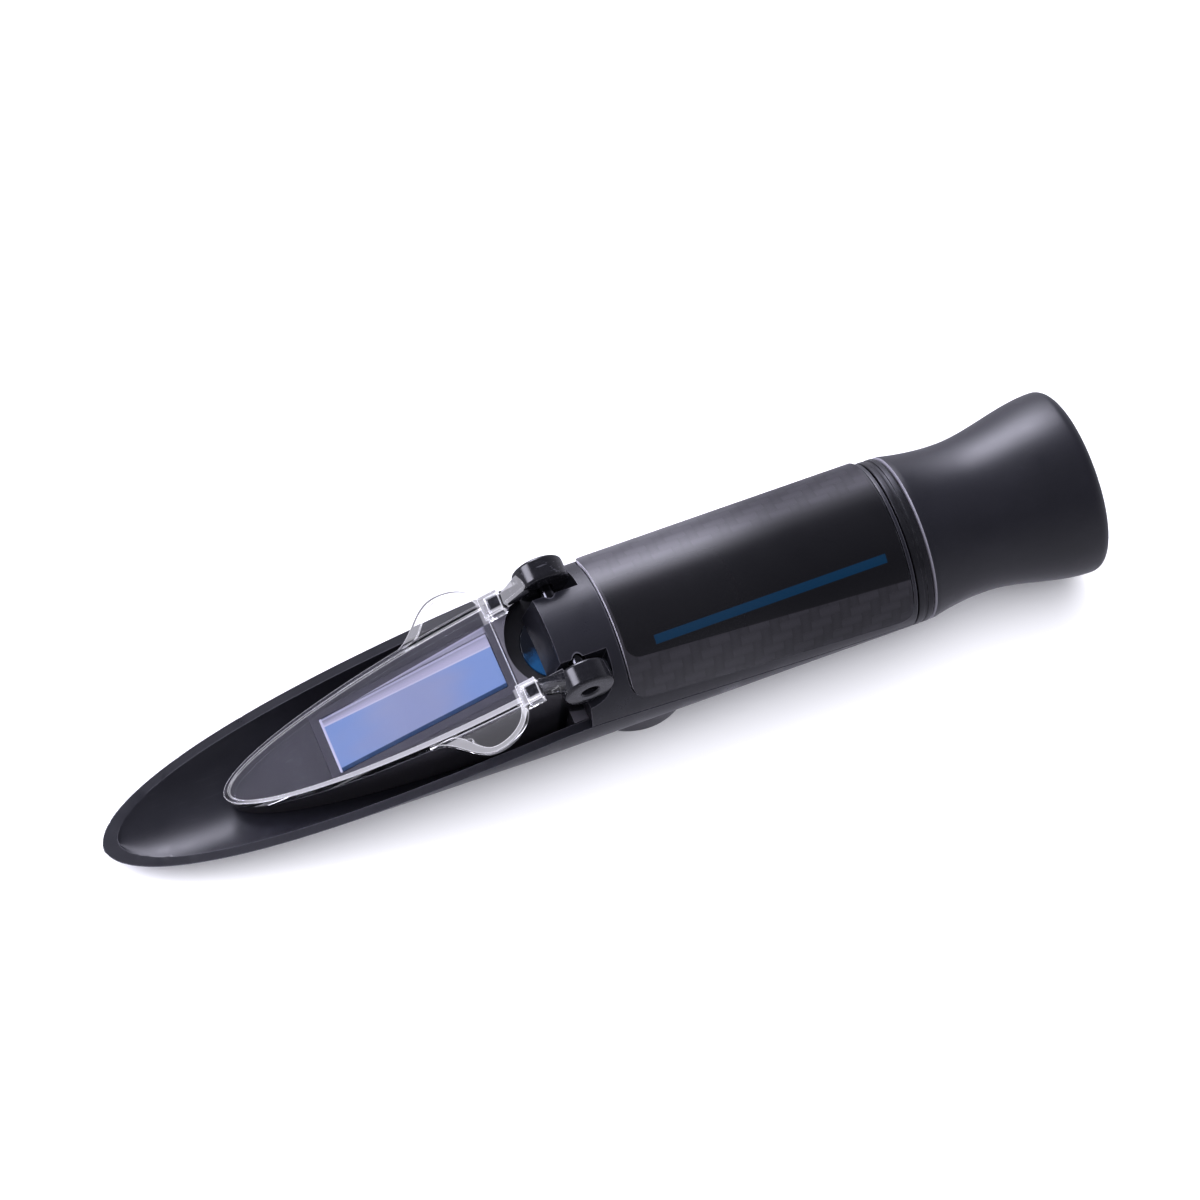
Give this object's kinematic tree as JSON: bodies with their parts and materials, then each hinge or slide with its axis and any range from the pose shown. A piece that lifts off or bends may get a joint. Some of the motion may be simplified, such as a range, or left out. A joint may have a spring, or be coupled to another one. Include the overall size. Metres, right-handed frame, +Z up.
{
  "type": "hand-held honey refractometer",
  "caption": "Hand-held honey refractometer: scoop-nosed black barrel, prism under a hinged clear daylight plate, focusing eyepiece and flared rubber eyecup.",
  "frame": {"origin": "below the middle of the object, on the flat surface that it lies on", "axes": "+X along the barrel from the scoop's tip to the eyecup, +Z up out of the prism, +Y to the far side of the picture"},
  "size_m": [0.168, 0.031, 0.0312],
  "materials": {
    "moulded_black": "fine satin moulding",
    "gloss_black": "polished, domed clear coat over woven pattern",
    "gloss_arm": "polished moulding",
    "soft_rubber": "smooth satin rubber",
    "seal_rubber": "black sealing rubber",
    "clear_plate": "clear moulded plastic with a frosted underside",
    "prism_glass": "polished optical glass with a blue cast",
    "optical_glass": "polished, coated",
    "anodised_black": "matt black anodised",
    "brass": "turned",
    "steel": "polished pin"
  },
  "bodies": {
    "barrel": {"lower_housing": "moulded_black", "prism_box": "moulded_black", "measuring_prism": "prism_glass", "prism_seal": "seal_rubber", "barrel_cover": "moulded_black", "label_sleeve": "gloss_black", "optical_tube": "anodised_black", "bimetal_strip": "brass", "aperture_stop": "anodised_black", "scale_holder": "anodised_black", "scale_disc": "optical_glass", "scale_retainer": "brass", "adjuster_seal": "seal_rubber", "rear_ring": "anodised_black", "eyepiece_seal": "seal_rubber", "hinge_pin_near": "steel", "hinge_pin_far": "steel"},
    "daylight_lid": {"daylight_plate": "clear_plate", "hinge_arm_near": "gloss_arm", "hinge_arm_far": "gloss_arm"},
    "eyecup_body": {"eyecup": "soft_rubber", "focus_sleeve": "anodised_black"},
    "eyepiece_lenses": {"lens_carrier": "anodised_black", "field_lens": "optical_glass", "lens_spacer": "anodised_black", "eye_lens": "optical_glass", "lens_retainer": "anodised_black"},
    "scale_adjuster": {"adjusting_screw": "moulded_black"},
    "objective_body": {"objective_cell": "anodised_black", "objective_lens": "optical_glass", "objective_retainer": "brass"}
  },
  "joints": [
    {"name": "lid_hinge", "type": "hinge", "parent": "barrel", "child": "daylight_lid", "pos_m": [-0.0065, 0, 0.0269], "axis": [0, 1, 0], "range_deg": [0, 120]},
    {"name": "focus_turn", "type": "hinge", "parent": "barrel", "child": "eyecup_body", "pos_m": [0.05, 0, 0.0155], "axis": [1, 0, 0], "range_deg": [-150, 150]},
    {"name": "eyepiece_slide", "type": "slide", "parent": "barrel", "child": "eyepiece_lenses", "axis": [1, 0, 0], "range_m": [-0.0015, 0.0015]},
    {"name": "adjuster_turn", "type": "hinge", "parent": "barrel", "child": "scale_adjuster", "pos_m": [0.006, 0, 0.0025], "axis": [0, 0, 1], "range_deg": [-170, 170]},
    {"name": "objective_shift", "type": "slide", "parent": "barrel", "child": "objective_body", "axis": [0, 0, 1], "range_m": [-0.00034, 0.00034]}
  ],
  "couplings": [
    {"joint": "eyepiece_slide", "follows": "focus_turn", "m_per_rad": 0.00057239},
    {"joint": "adjuster_turn", "follows": "objective_shift", "rad_per_m": 8717.9}
  ]
}
